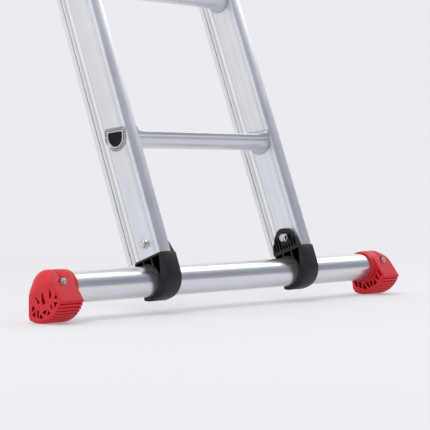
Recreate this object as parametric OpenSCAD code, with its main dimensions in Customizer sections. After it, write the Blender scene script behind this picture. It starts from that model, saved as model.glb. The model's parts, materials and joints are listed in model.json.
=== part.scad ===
// Two-section aluminium extension ladder with a stabiliser bar, shown leaning with the fly raised.
// Units are millimetres, +Z is up, -Y is the climber's side, the floor is Z = 0.

/* [Node] */
// which sub-part to draw

/* [Pose] */
// angle of the ladder from vertical, in degrees
lean_angle = 20.7; // [15:0.1:25]

/* [Sections] */
// overall width over the base stiles
base_width = 399; // [335:1:480]
// distance from rung to rung along the stiles
rung_pitch = 280; // [260:1:300]
// height of the first base rung above the bar's axis, along the stile
first_rung = 242; // [220:1:280]
// base rung the fly's hooks are level with
hook_rung = 4; // [3:1:5]
// stile length above its last rung
top_overhang = 130; // [110:1:160]
// fly stile length below its first rung
fly_tail = 96; // [90:1:100]

/* [Stiles] */
// width of a base stile across the ladder
base_stile_width = 27.5; // [25:0.5:32]
// width of a fly stile across the ladder
fly_stile_width = 25; // [21:0.5:30]
// depth of a base stile
base_stile_depth = 78.3; // [74:0.1:84]
// depth of a fly stile
fly_stile_depth = 66; // [62:1:74]
// wall thickness of the stiles
stile_wall = 1.8; // [1.4:0.1:2.4]

/* [Rungs] */
// rung depth, front to back
rung_depth = 35; // [30:0.5:42]
// rung height
rung_height = 27.5; // [26:0.5:30]
// rung wall thickness
rung_wall = 2; // [1.5:0.1:2.5]
// angle at which the treads are level, from vertical
tread_angle = 15; // [12:1:18]

/* [Stabiliser] */
// overall length of the bar with its feet
bar_length = 883; // [740:1:1060]
// outer diameter of the bar
bar_diameter = 50; // [42:0.5:60]
// wall thickness of the bar
bar_wall = 2; // [1.5:0.1:3]
// height of the bar's axis above the floor
axis_height = 52; // [50:0.5:56]
// width of a foot's sole along the bar
foot_width = 48.5; // [44:0.5:54]
// angle from one tread land of a foot's sole to the next, in degrees
sole_pitch = 7; // [6.6:0.1:9]

/* [Fits] */
// side gap between the base stiles and the fly stiles
fly_gap = 1.5; // [1.2:0.1:2]
// radial clearance of a hook on its pin
pin_clearance = 0.05; // [0.02:0.01:0.1]
// gap between a guide tongue and its groove
tongue_gap = 0.4; // [0.35:0.05:0.6]
// gap between a plug or cap and the hollow it closes
plug_gap = 0.1; // [0.05:0.05:0.2]
// gap between a hook and the tread it drops over
hook_gap = 1; // [0.6:0.1:1.5]

/* [Hidden] */
$fn = 64;
nudge = 0.5;
rung_count = 8;

// stile positions across the ladder and front to back, with p counted towards the climber
stile_out = base_width / 2;
stile_in = stile_out - base_stile_width;
stile_front = 43.6;
stile_rear = stile_front - base_stile_depth;
rim_height = 12.5;
stile_foot = bar_diameter / 2 + rim_height;
groove_width = 3;
groove_depth = 1.6;
groove_inset = 10.5;
line_width = 0.9;
line_depth = 0.5;
front_lines = [9, 12];
rear_lines = [9, 16];
corner = 2.5;

fly_out = stile_in - fly_gap;
fly_in = fly_out - fly_stile_width;
fly_front = -18.5;
fly_rear = fly_front - fly_stile_depth;

base_top = first_rung + (rung_count - 1) * rung_pitch + top_overhang;
fly_first = first_rung + (hook_rung - 1) * rung_pitch;
fly_bottom = fly_first - fly_tail;
fly_top = fly_first + (rung_count - 1) * rung_pitch + top_overhang;
cap_plate = 4;
cap_depth = 18;

// rungs, kept clear of the fly in front of it and of the fly's grooves
rung_clear = 7;
fly_rung_clear = 2;
rung_straight = rung_height - rung_depth / 2;
rung_lift = rung_height / 2 - rung_straight;
// each step of a rung's flare: from and to, measured inwards from the stile, and its growth
flare_grow = 8;
flare = [[0, 1.5, flare_grow], [1.5, 3, 6.8], [3, 5, 5.4], [5, 8, 4], [8, 13, 2.6], [13, 20, 1.2]];
bead_height = 1.6;
bead_grow = 6.5;
fly_bead_height = 0.4;
fly_bead_grow = 3;
rung_p = fly_front + rung_clear + flare_grow + rung_depth / 2;
fly_rung_p = fly_rear + groove_inset + groove_width + fly_bead_grow + fly_rung_clear
  + rung_depth / 2;
rung_hole_gap = 0.05;
plug_depth = 9;
plug_recess = 0.6;

// bar and feet
bar_r = bar_diameter / 2;
foot_wall = 5;
foot_r = bar_r + foot_wall;
foot_end = 8;
foot_round = 14;
sleeve_reach = 10;
sleeve_step = 0.5;
foot_tip = 49.5;
tip_drop = 17;
tip_r = 2.5;
sole_root = axis_height - 2.4;
land_width = 4.4;
sole_front = 70;
sole_back = 28;
lands_back = floor((sole_back - 3) / sole_pitch);
lands_front = floor((sole_front - 6) / sole_pitch);
arc_steps = 36;
toe_steps = 10;
screw_angle = 22;
screw_seat = foot_r + 1;
screw_r = 2.4;
screw_head_r = 4.3;
screw_x = bar_length / 2 - foot_width / 2;

// clamps
clamp_out = stile_out + 0.5;
clamp_in = stile_in - 8.2;
clamp_front = 44.1;
clamp_rear = -18;
clamp_wrap = 7;
clamp_r = bar_r + clamp_wrap;
clamp_corner = 36;
clamp_end = 38;
cell_depth = 11;
cell_wall = 3.2;
cell_width = 15;
tongue_thick = 8;
slot_depth = 3;
slot_width = 3.6;
slot_pitch = 6.5;
bolt_p = 14.5;
bolt_s = stile_foot + 22.5;
bolt_r = 4;
bolt_flange_r = 8.2;
bolt_flange = 1.8;
bolt_head = 5;
nut_r = 7.2;
nut_height = 6.5;

// hooks, with the pin placed from the rung the hook drops over
pin_p = -34;
pin_up = 46;
pin_r = 4;
pin_head_r = 7;
pin_head = 3.5;
hook_thick = 5;
hook_side_gap = 0.8;
hook_park = 120;
boss_r = 12;

// guides
guide_height = 60;
guide_plate = 3;
guide_gap = 0.8;
base_guide_from = base_top - guide_height - 8;
base_rivet_p = -25;
fly_guide_from = fly_bottom + 6;
fly_guide_back = 1.5;
fly_guide_web = 5;
fly_rivet_p = -62;
rivet_r = 2.5;
rivet_head_r = 4.5;
rivet_head = 1.2;
rivet_spread = 36;

// the frame's origin is midway between the toes and the fly's top
rear_reach = (fly_top + cap_plate) * sin(lean_angle) - fly_rear * cos(lean_angle);
shift_y = (foot_tip - rear_reach) / 2;

alloy = [0.80, 0.81, 0.83];
alloy_bar = [0.77, 0.78, 0.80];
steel = [0.72, 0.72, 0.70];
charcoal = [0.16, 0.15, 0.16];
red = [0.80, 0.16, 0.18];

// places children in the leaning frame, whose origin is the middle of the bar
module on_slope() {
  translate([0, shift_y, axis_height]) rotate([-lean_angle, 0, 0]) children();
}

// places children on the bar's axis with the world's axes
module on_bar() {
  translate([0, shift_y, axis_height]) children();
}

// box given by its limits across, towards the climber and along the stile
module block(x, p, s) {
  translate([x[0], -p[1], s[0]]) cube([x[1] - x[0], p[1] - p[0], s[1] - s[0]]);
}

// extrudes a side view, drawn with its first axis towards the climber, across the ladder
module across(from, to) {
  translate([from, 0, 0]) rotate([90, 0, 90]) mirror([1, 0, 0])
    linear_extrude(to - from) children();
}

// round bar across the ladder
module rod(from, to, r, p, s) {
  translate([from, -p, s]) rotate([0, 90, 0]) cylinder(h = to - from, r = r);
}

// draws children once on the right and once mirrored on the left
module both_sides() {
  children();
  mirror([1, 0, 0]) children();
}

module left() {
  mirror([1, 0, 0]) children();
}

module rounded_rect(width, depth, r) {
  translate([r, 0]) square([width - 2 * r, depth]);
  translate([0, r]) square([width, depth - 2 * r]);
  for (x = [r, width - r], y = [r, depth - r]) translate([x, y]) circle(r = r, $fn = 24);
}

// stile cross-section from its inner front corner, depth running backwards
module stile_section(width, depth) {
  rear_web = depth - groove_inset;
  difference() {
    rounded_rect(width, depth, corner);
    translate([stile_wall, stile_wall])
      square([width - 2 * stile_wall, rear_web - 2 * groove_width - stile_wall + 1]);
    translate([stile_wall, rear_web + 2])
      square([width - 2 * stile_wall, groove_inset - 2 - stile_wall]);
    for (side = [0, 1]) translate([side * width, 0]) mirror([side, 0]) {
      translate([-nudge, rear_web - groove_width]) square([groove_depth + nudge, groove_width]);
      for (y = concat(front_lines, [for (line = rear_lines) rear_web - line]))
        translate([-nudge, y]) square([line_depth + nudge, line_width]);
    }
  }
}

module stile(inner, width, front, depth, from, to) {
  translate([inner, -front, from]) linear_extrude(to - from) stile_section(width, depth);
}

// rung cross-section: flat tread above a half round, grown evenly by the given amount
module rung_section(grow) {
  r = rung_depth / 2 + grow;
  translate([0, rung_lift]) intersection() {
    union() {
      circle(r = r);
      translate([-r, 0]) square([2 * r, rung_straight + grow]);
    }
    translate([-r, -r]) square([2 * r, r + rung_straight + grow]);
  }
}

module rung_slice(from, to, p, s, grow) {
  translate([from, -p, s]) rotate([tread_angle, 0, 0]) rotate([90, 0, 90])
    linear_extrude(to - from) rung_section(grow);
}

module rung(out, inner, p, s, bead, grow) {
  color(alloy) difference() {
    union() {
      rung_slice(-out - bead, out + bead, p, s, 0);
      both_sides() {
        rung_slice(out, out + bead, p, s, grow);
        for (step = flare) rung_slice(inner - step[1], inner - step[0], p, s, step[2]);
      }
    }
    rung_slice(-out - bead - nudge, out + bead + nudge, p, s, -rung_wall);
  }
}

module rung_holes(p, first) {
  for (i = [0 : rung_count - 1])
    rung_slice(-stile_out - nudge, stile_out + nudge, p, first + i * rung_pitch,
      rung_hole_gap);
}

module rung_plugs(end, p, first) {
  color(charcoal) for (i = [0 : rung_count - 1]) both_sides()
    rung_slice(end - plug_recess - plug_depth, end - plug_recess, p, first + i * rung_pitch,
      -rung_wall - plug_gap);
}

module base_rung(index) {
  on_slope() rung(stile_out, stile_in, rung_p, first_rung + (index - 1) * rung_pitch,
    bead_height, bead_grow);
}

module fly_rung(index) {
  on_slope() rung(fly_out, fly_in, fly_rung_p, fly_first + (index - 1) * rung_pitch,
    fly_bead_height, fly_bead_grow);
}

module base_stile() {
  color(alloy) difference() {
    stile(stile_in, base_stile_width, stile_front, base_stile_depth, stile_foot, base_top);
    rung_holes(rung_p, first_rung);
    rod(stile_in - nudge, stile_out + nudge, bolt_r + 0.1, bolt_p, bolt_s);
  }
}

module fly_stile() {
  color(alloy) difference() {
    stile(fly_in, fly_stile_width, fly_front, fly_stile_depth, fly_bottom, fly_top);
    rung_holes(fly_rung_p, fly_first);
    rod(fly_in - nudge, fly_in + stile_wall + nudge, pin_r, pin_p, fly_first + pin_up);
  }
}

// cap with a plug that fills the front cell of the hollow
module stile_cap(inner, width, front, depth, end, up) {
  gap = stile_wall + plug_gap;
  cell = depth - groove_inset - 2 * groove_width + 1;
  color(charcoal) translate([inner, -front, end]) mirror([0, 0, up > 0 ? 0 : 1]) {
    linear_extrude(cap_plate) rounded_rect(width, depth, corner);
    translate([gap, gap, -cap_depth])
      cube([width - 2 * gap, cell - gap - plug_gap, cap_depth + nudge]);
  }
}

// bracket on the top of a base stile whose tongue runs in the fly stile's rear groove
module base_guide() {
  from = base_guide_from;
  to = from + guide_height;
  mid = fly_rear + groove_inset + groove_width / 2;
  half = groove_width / 2 - tongue_gap;
  color(charcoal) difference() {
    union() {
      block([fly_out + guide_gap, stile_out], [mid - 5, stile_rear], [from, to]);
      block([stile_out - nudge, stile_out + guide_plate], [mid - 5, -12], [from, to]);
      block([fly_out - groove_depth + tongue_gap, fly_out + guide_gap + nudge],
        [mid - half, mid + half], [from, to]);
    }
    block([stile_in - 8, stile_out], [stile_rear, 0], [from - nudge, to + nudge]);
    for (z = [-1, 1]) rod(stile_out, stile_out + guide_plate + nudge, rivet_r,
      base_rivet_p, (from + to) / 2 + z * rivet_spread / 2);
  }
}

// bracket on the foot of a fly stile whose tongue runs in the base stile's rear groove
module fly_guide() {
  from = fly_guide_from;
  to = from + guide_height;
  mid = stile_rear + groove_inset + groove_width / 2;
  half = groove_width / 2 - tongue_gap;
  wing = stile_out + guide_gap;
  web = [stile_rear - fly_guide_back - fly_guide_web, stile_rear - fly_guide_back];
  color(charcoal) difference() {
    union() {
      block([fly_out, fly_out + guide_plate], [fly_rear + 4, web[1]], [from, to]);
      block([fly_out, wing + guide_plate], web, [from, to]);
      block([wing, wing + guide_plate], [web[0], mid + 5], [from, to]);
      block([stile_out - groove_depth + tongue_gap, wing + nudge],
        [mid - half, mid + half], [from, to]);
    }
    for (z = [-1, 1]) rod(fly_out - nudge, fly_out + guide_plate + nudge, rivet_r,
      fly_rivet_p, (from + to) / 2 + z * rivet_spread / 2);
  }
}

// rivet with a low head, its shank pointing inwards
module rivet(face, p, s) {
  rod(face - guide_plate, face + nudge / 2, rivet_r, p, s);
  rod(face, face + rivet_head, rivet_head_r, p, s);
}

// side view of a clamp: saddle on the bar, front wall and the hook under the bar
module clamp_side() {
  centre = [clamp_front - clamp_corner, clamp_corner - clamp_r];
  difference() {
    polygon([
      [clamp_rear, centre[1]], [clamp_rear, stile_foot], [clamp_front, stile_foot],
      for (a = [0 : toe_steps]) centre + polar(clamp_corner, -90 * a / toe_steps),
      for (a = [0 : toe_steps]) polar(clamp_r, 270 - clamp_end * a / toe_steps), [0, 0]
    ]);
    circle(r = bar_r);
  }
}

// open cells moulded into a clamp's sides between its rim and the bar
module clamp_cells() {
  difference() {
    union() {
      for (i = [0 : 2]) translate([clamp_rear + cell_wall + i * (cell_width + cell_wall), 0])
        square([cell_width, stile_foot - cell_wall]);
    }
    circle(r = bar_r + cell_wall);
  }
}

// tongue on the stile's inner face
module clamp_tongue_side() {
  translate([0, stile_foot]) polygon([[-20, -nudge], [41, -nudge], [41, 3.5], [35, 19.5],
    [30, 31.5], [26, 35.5], [11, 40.5], [4, 39.5], [-1, 35.5], [-8, 28.5], [-20, 3.5]]);
}

module clamp() {
  color(charcoal) difference() {
    union() {
      across(clamp_in, clamp_out) clamp_side();
      across(clamp_in, clamp_in + tongue_thick) clamp_tongue_side();
    }
    across(clamp_out - cell_depth, clamp_out + nudge) clamp_cells();
    across(clamp_in - nudge, clamp_in + cell_depth) clamp_cells();
    for (i = [0 : 7]) let (p = -14 + i * slot_pitch) if (abs(p - bolt_p) > nut_r)
      block([clamp_in - nudge, clamp_in + slot_depth], [p, p + slot_width],
        [stile_foot + 5, stile_foot + 28]);
    rod(clamp_in - nudge, clamp_out, bolt_r + 0.1, bolt_p, bolt_s);
  }
}

module clamp_bolt() {
  color(steel) {
    rod(clamp_in - nut_height - 1.5, stile_out + nudge, bolt_r, bolt_p, bolt_s);
    rod(stile_out, stile_out + bolt_flange, bolt_flange_r, bolt_p, bolt_s);
    rod(stile_out + bolt_flange - 0.1, stile_out + bolt_flange + bolt_head, nut_r, bolt_p,
      bolt_s, $fn = 6);
  }
}

module clamp_nut() {
  color(steel) difference() {
    rod(clamp_in - nut_height, clamp_in, nut_r, bolt_p, bolt_s, $fn = 6);
    rod(clamp_in - nut_height - nudge, clamp_in + nudge, bolt_r, bolt_p, bolt_s);
  }
}

function polar(r, a) = r * [cos(a), sin(a)];

// the four corners of one sole land, from rear to front; land 0 is under the bar
function land(i) = [
  for (c = [[-1, sole_root], [-1, axis_height], [1, axis_height], [1, sole_root]])
    polar(c[1], 270 + i * sole_pitch) + polar(c[0] * land_width / 2, i * sole_pitch)
];

// side view of a foot about the bar's axis: dome, upright rear, ribbed sole, toe and front panel
module foot_side() {
  tip = [foot_tip - tip_r, -tip_drop];
  seat = acos((foot_r - tip_r) / norm(tip)) - atan(tip_drop / tip[0]);
  polygon([
    for (a = [0 : arc_steps]) polar(foot_r, seat + a * (180 - seat) / arc_steps),
    polar(sole_root, 270 - sole_back),
    for (i = [-lands_back : lands_front], corner = land(i)) corner,
    for (a = [0 : toe_steps]) tip + polar(tip_r, a * (seat + 80) / toe_steps - 80)
  ]);
}

// triangular pockets moulded into a foot's ends
module foot_pockets() {
  for (i = [0 : 4]) rotate(-14 + i * 19) polygon([[-0.8, -33.5], [-4.5, -44], [4.2, -44.5]]);
  for (i = [0 : 3]) rotate(-4.5 + i * 19) polygon([[-3.6, -32], [3.6, -32], [0.4, -40]]);
}

// ring that rounds the outer end of a foot's dome when it is cut away
module dome_round() {
  outer = bar_length / 2;
  centre = [foot_r - foot_round - sleeve_step, outer - foot_round];
  rotate([0, 90, 0]) rotate_extrude() difference() {
    translate(centre) square(foot_round + 2);
    translate(centre) circle(r = foot_round);
  }
}

module foot() {
  outer = bar_length / 2;
  inner = outer - foot_width;
  color(red) difference() {
    union() {
      across(inner, outer) foot_side();
      rod(inner - sleeve_reach, inner + nudge, foot_r - sleeve_step, 0, 0);
    }
    rod(inner - sleeve_reach - nudge, outer - foot_end, bar_r, 0, 0);
    across(outer - 4, outer + nudge) foot_pockets();
    across(inner - nudge, inner + 9) foot_pockets();
    intersection() {
      dome_round();
      block([outer - foot_round - nudge, outer + 1], [-foot_tip, 0], [0, foot_tip]);
    }
    translate([screw_x, 0, 0]) rotate([90 - screw_angle, 0, 0]) {
      cylinder(h = 2 * foot_r, r = screw_r);
      translate([0, 0, screw_seat]) cylinder(h = foot_r, r = screw_head_r + 0.9);
    }
  }
}

module foot_screw() {
  color(steel) translate([screw_x, 0, 0]) rotate([90 - screw_angle, 0, 0]) {
    translate([0, 0, bar_r - 6]) cylinder(h = screw_seat - bar_r + 7, r = screw_r);
    translate([0, 0, screw_seat]) difference() {
      cylinder(h = 2.6, r = screw_head_r);
      translate([0, 0, 1.2]) cylinder(h = 4, r = 1.6, $fn = 6);
    }
  }
}

// side view of a hook about its pin, in the position it holds a rung
module hook_side() {
  turn = tread_angle;
  front = [rung_p - pin_p, -pin_up] + rung_corner(1, turn);
  back = [rung_p - pin_p, -pin_up] + rung_corner(-1, turn);
  polygon([[0, boss_r - 2], [26, 9], [60, -12], front + [12, 6], front + [14, -16],
    front + [7, -21], front + [hook_gap + 2, -14], front + [hook_gap + 1, hook_gap],
    back + [-1, hook_gap + 0.4], [2, -boss_r + 2], [-boss_r + 3, 0]]);
}

// a tread's front or rear edge measured from the middle of the rung
function rung_corner(side, turn) =
  let (u = side * rung_depth / 2, v = rung_height / 2)
  [u * cos(turn) + v * sin(turn), v * cos(turn) - u * sin(turn)];

module hook() {
  from = fly_in - hook_side_gap - hook_thick;
  color(steel) translate([0, -pin_p, fly_first + pin_up]) rotate([-hook_park, 0, 0])
    difference() {
      union() {
        across(from, from + hook_thick) hook_side();
        rod(from, from + hook_thick, boss_r, 0, 0);
      }
      rod(from - nudge, from + hook_thick + nudge, pin_r + pin_clearance, 0, 0);
    }
}

module hook_pin() {
  from = fly_in - 2 * hook_side_gap - hook_thick;
  s = fly_first + pin_up;
  color(steel) {
    rod(from - pin_head, from, pin_head_r, pin_p, s);
    rod(from - nudge, fly_in + stile_wall + 2, pin_r, pin_p, s);
  }
}

module stabiliser_bar() {
  half = bar_length / 2 - foot_end;
  color(alloy_bar) on_bar() difference() {
    rod(-half, half, bar_r, 0, 0);
    rod(-half - nudge, half + nudge, bar_r - bar_wall, 0, 0);
    both_sides() translate([screw_x, 0, 0]) rotate([90 - screw_angle, 0, 0])
      cylinder(h = foot_r, r = screw_r);
  }
}

module left_foot() { on_bar() left() foot(); }
module right_foot() { on_bar() foot(); }
module foot_screws() { on_bar() both_sides() foot_screw(); }
module left_clamp() { on_slope() left() clamp(); }
module right_clamp() { on_slope() clamp(); }
module clamp_bolts() { on_slope() both_sides() clamp_bolt(); }
module clamp_nuts() { on_slope() both_sides() clamp_nut(); }
module base_left_stile() { on_slope() left() base_stile(); }
module base_right_stile() { on_slope() base_stile(); }
module base_rung_plugs() { on_slope() rung_plugs(stile_out + bead_height, rung_p, first_rung); }

module base_cap() {
  stile_cap(stile_in, base_stile_width, stile_front, base_stile_depth, base_top, 1);
}
module base_left_cap() { on_slope() left() base_cap(); }
module base_right_cap() { on_slope() base_cap(); }
module base_left_guide() { on_slope() left() base_guide(); }
module base_right_guide() { on_slope() base_guide(); }

module base_guide_rivets() {
  color(steel) on_slope() both_sides() for (z = [-1, 1])
    rivet(stile_out + guide_plate, base_rivet_p,
      base_guide_from + (guide_height + z * rivet_spread) / 2);
}

module fly_left_stile() { on_slope() left() fly_stile(); }
module fly_right_stile() { on_slope() fly_stile(); }
module fly_rung_plugs() { on_slope() rung_plugs(fly_out + fly_bead_height, fly_rung_p, fly_first); }

module fly_cap(end, up) {
  stile_cap(fly_in, fly_stile_width, fly_front, fly_stile_depth, end, up);
}
module fly_left_top_cap() { on_slope() left() fly_cap(fly_top, 1); }
module fly_right_top_cap() { on_slope() fly_cap(fly_top, 1); }
module fly_left_end_cap() { on_slope() left() fly_cap(fly_bottom, -1); }
module fly_right_end_cap() { on_slope() fly_cap(fly_bottom, -1); }
module fly_left_guide() { on_slope() left() fly_guide(); }
module fly_right_guide() { on_slope() fly_guide(); }

module fly_guide_rivets() {
  color(steel) on_slope() both_sides() for (z = [-1, 1])
    rivet(fly_out + guide_plate, fly_rivet_p,
      fly_guide_from + (guide_height + z * rivet_spread) / 2);
}

module left_hook() { on_slope() left() hook(); }
module right_hook() { on_slope() hook(); }
module left_hook_pin() { on_slope() left() hook_pin(); }
module right_hook_pin() { on_slope() hook_pin(); }

module base_rung_1() { base_rung(1); }
module base_rung_2() { base_rung(2); }
module base_rung_3() { base_rung(3); }
module base_rung_4() { base_rung(4); }
module base_rung_5() { base_rung(5); }
module base_rung_6() { base_rung(6); }
module base_rung_7() { base_rung(7); }
module base_rung_8() { base_rung(8); }
module fly_rung_1() { fly_rung(1); }
module fly_rung_2() { fly_rung(2); }
module fly_rung_3() { fly_rung(3); }
module fly_rung_4() { fly_rung(4); }
module fly_rung_5() { fly_rung(5); }
module fly_rung_6() { fly_rung(6); }
module fly_rung_7() { fly_rung(7); }
module fly_rung_8() { fly_rung(8); }

stabiliser_bar();
left_foot();
right_foot();
foot_screws();
left_clamp();
right_clamp();
clamp_bolts();
clamp_nuts();
base_left_stile();
base_right_stile();
base_rung_1();
base_rung_2();
base_rung_3();
base_rung_4();
base_rung_5();
base_rung_6();
base_rung_7();
base_rung_8();
base_rung_plugs();
base_left_cap();
base_right_cap();
base_left_guide();
base_right_guide();
base_guide_rivets();
fly_left_stile();
fly_right_stile();
fly_rung_1();
fly_rung_2();
fly_rung_3();
fly_rung_4();
fly_rung_5();
fly_rung_6();
fly_rung_7();
fly_rung_8();
fly_rung_plugs();
fly_left_top_cap();
fly_right_top_cap();
fly_left_end_cap();
fly_right_end_cap();
fly_left_guide();
fly_right_guide();
fly_guide_rivets();
left_hook();
right_hook();
left_hook_pin();
right_hook_pin();
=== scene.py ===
import json
import math

import bmesh
import bpy
from mathutils import Matrix, Vector


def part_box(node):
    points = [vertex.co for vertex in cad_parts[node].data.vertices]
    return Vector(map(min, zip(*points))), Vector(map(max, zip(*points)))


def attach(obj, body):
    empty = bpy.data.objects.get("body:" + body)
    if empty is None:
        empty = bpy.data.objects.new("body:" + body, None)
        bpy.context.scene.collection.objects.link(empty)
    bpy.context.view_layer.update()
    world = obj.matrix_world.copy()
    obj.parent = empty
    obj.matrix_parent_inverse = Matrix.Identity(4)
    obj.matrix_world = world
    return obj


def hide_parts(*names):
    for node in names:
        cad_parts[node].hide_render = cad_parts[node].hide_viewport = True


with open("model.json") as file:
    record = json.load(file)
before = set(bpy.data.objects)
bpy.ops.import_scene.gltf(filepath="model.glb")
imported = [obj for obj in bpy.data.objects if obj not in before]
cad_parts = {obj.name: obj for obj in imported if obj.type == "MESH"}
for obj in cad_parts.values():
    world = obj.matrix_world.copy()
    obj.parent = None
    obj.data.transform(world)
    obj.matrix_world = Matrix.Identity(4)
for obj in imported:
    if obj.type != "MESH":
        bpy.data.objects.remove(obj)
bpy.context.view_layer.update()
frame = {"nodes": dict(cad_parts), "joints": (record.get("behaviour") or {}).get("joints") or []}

# Everything is modelled in millimetres from the middle of the bar: level keeps the world's axes,
# slope leans them back with the ladder. X runs across, -Y towards the climber, Z up or along a stile.
barLow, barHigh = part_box("stabiliser_bar")
barAxis = (barLow + barHigh) / 2
slide = next(joint for joint in frame["joints"] if joint["name"] == "fly_slide")
lean = math.atan2(slide["axis"][1], slide["axis"][2])
millimetres = Matrix.Scale(0.001, 4)
level = Matrix.Translation(barAxis) @ millimetres
slope = Matrix.Translation(barAxis) @ Matrix.Rotation(-lean, 4, "X") @ millimetres
toLeft = Matrix.Scale(-1, 4, (1, 0, 0))


def limits(node, place):
    # lowest and highest corner of what a node has on the right half, in millimetres
    back = place.inverted()
    spots = [back @ v.co for v in frame["nodes"][node].data.vertices]
    spots = [s for s in spots if s.x > 0] or spots
    return (Vector([min(s[i] for s in spots) for i in range(3)]),
            Vector([max(s[i] for s in spots) for i in range(3)]))


def polar(radius, degrees, centre=(0, 0)):
    angle = math.radians(degrees)
    return (centre[0] + radius * math.cos(angle), centre[1] + radius * math.sin(angle))


def arc(radius, start, end, steps, centre=(0, 0)):
    return [polar(radius, start + (end - start) * i / steps, centre) for i in range(steps + 1)]


def addNode(tree, kind, sockets=None, **settings):
    node = tree.nodes.new("ShaderNode" + kind)
    for key, value in settings.items():
        setattr(node, key, value)
    for key, value in (sockets or {}).items():
        node.inputs[key].default_value = value
    return node


def startMaterial(name):
    material = bpy.data.materials.new(name)
    material.use_nodes = True
    tree = material.node_tree
    tree.nodes.clear()
    shader = addNode(tree, "BsdfPrincipled")
    output = addNode(tree, "OutputMaterial")
    tree.links.new(shader.outputs[0], output.inputs["Surface"])
    coords = addNode(tree, "TexCoord")
    return material, tree, shader, coords


def noiseAt(tree, vector, scale, detail=3.0, roughness=0.55):
    noise = addNode(tree, "TexNoise",
                    {"Scale": scale, "Detail": detail, "Roughness": roughness})
    tree.links.new(vector, noise.inputs["Vector"])
    return noise.outputs["Fac"]


def spread(tree, value, low, high, fromLow=0.3, fromHigh=0.7):
    remap = addNode(tree, "MapRange", {"From Min": fromLow, "From Max": fromHigh,
                                       "To Min": low, "To Max": high})
    tree.links.new(value, remap.inputs["Value"])
    return remap.outputs["Result"]


def leaned(tree, coords, sizes):
    # coordinates of the leaning frame, counted in the given length along each axis
    mapping = addNode(tree, "Mapping", {"Location": barAxis, "Rotation": (-lean, 0, 0),
                                        "Scale": sizes}, vector_type="TEXTURE")
    tree.links.new(coords.outputs["Object"], mapping.inputs["Vector"])
    return mapping.outputs[0]


def fillRamp(ramp, stops):
    elements = ramp.color_ramp.elements
    elements[0].position, elements[0].color = stops[0][0], (*stops[0][1], 1)
    elements[1].position, elements[1].color = stops[-1][0], (*stops[-1][1], 1)
    for at, tone in stops[1:-1]:
        elements.new(at).color = (*tone, 1)


def blendColours(tree, factor, first, second):
    mix = addNode(tree, "Mix", data_type="RGBA")
    for key, colour in (("A", first), ("B", second)):
        socket = next(s for s in mix.inputs if s.name == key and s.type == "RGBA")
        socket.default_value = (*colour, 1)
    tree.links.new(factor, next(s for s in mix.inputs if s.name == "Factor" and s.type == "VALUE"))
    return next(s for s in mix.outputs if s.type == "RGBA")


def shaded(tree, factor, colour, low, high):
    # a colour multiplied by a factor that varies over the surface
    scale = addNode(tree, "VectorMath", operation="SCALE")
    if isinstance(colour, tuple):
        scale.inputs[0].default_value = colour
    else:
        tree.links.new(colour, scale.inputs[0])
    tree.links.new(spread(tree, factor, low, high), scale.inputs["Scale"])
    return scale.outputs[0]


def bumpOf(tree, height, distance, strength=1.0, before=None):
    bump = addNode(tree, "Bump", {"Distance": distance, "Strength": strength})
    tree.links.new(height, bump.inputs["Height"])
    if before:
        tree.links.new(before, bump.inputs["Normal"])
    return bump.outputs["Normal"]


def toned(tree, coords, colour, look):
    # painted shade and painted highlights that follow the section, by distance along one axis of the leaning
    # frame
    parts = addNode(tree, "SeparateXYZ")
    tree.links.new(leaned(tree, coords, (0.001, 0.001, 0.001)), parts.inputs[0])
    place = parts.outputs[look["axis"]]
    if look["axis"] == "X":
        mirrorX = addNode(tree, "Math", operation="ABSOLUTE")
        tree.links.new(place, mirrorX.inputs[0])
        place = mirrorX.outputs[0]
    low, high = look["reach"]
    ramp = addNode(tree, "ValToRGB")
    tree.links.new(spread(tree, place, 0.0, 1.0, low, high), ramp.inputs["Fac"])
    fillRamp(ramp, sorted(((at - low) / (high - low), tone) for at, tone in look["shadeAndHighlights"]))
    scaled = addNode(tree, "VectorMath", operation="MULTIPLY")
    tree.links.new(colour, scaled.inputs[0])
    tree.links.new(ramp.outputs["Color"], scaled.inputs[1])
    return scaled.outputs[0]


def alloy(name, look):
    material, tree, shader, coords = startMaterial(name)
    streaks = noiseAt(tree, leaned(tree, coords, look["grain"]), 1.0, 4.0, 0.6)
    bands = noiseAt(tree, leaned(tree, coords, look["broad"]), 1.0, 2.0, 0.5)
    stains = noiseAt(tree, coords.outputs["Object"], 22.0, 5.0, 0.6)
    specks = noiseAt(tree, coords.outputs["Object"], 900.0, 2.0, 0.6)
    colour = shaded(tree, streaks, look["colour"], 1 - look["streak"], 1 + look["streak"] * 0.5)
    colour = shaded(tree, bands, colour, 0.95, 1.03)
    colour = shaded(tree, stains, colour, 0.95, 1.02)
    # painted shade and painted highlights along the section, for the looks that list them
    if "shadeAndHighlights" in look:
        colour = toned(tree, coords, colour, look)
    tree.links.new(colour, shader.inputs["Base Color"])
    rough = addNode(tree, "Math", operation="ADD")
    patchy = look["patchy"]
    tree.links.new(spread(tree, streaks, look["rough"] - patchy, look["rough"] + patchy), rough.inputs[0])
    tree.links.new(spread(tree, stains, -patchy * 0.6, patchy * 0.8), rough.inputs[1])
    tree.links.new(rough.outputs[0], shader.inputs["Roughness"])
    shader.inputs["Metallic"].default_value = look["metal"]
    normal = bumpOf(tree, streaks, look["bump"])
    normal = bumpOf(tree, specks, look["bump"] * 0.4, 0.5, normal)
    tree.links.new(normal, shader.inputs["Normal"])
    return material


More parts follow.
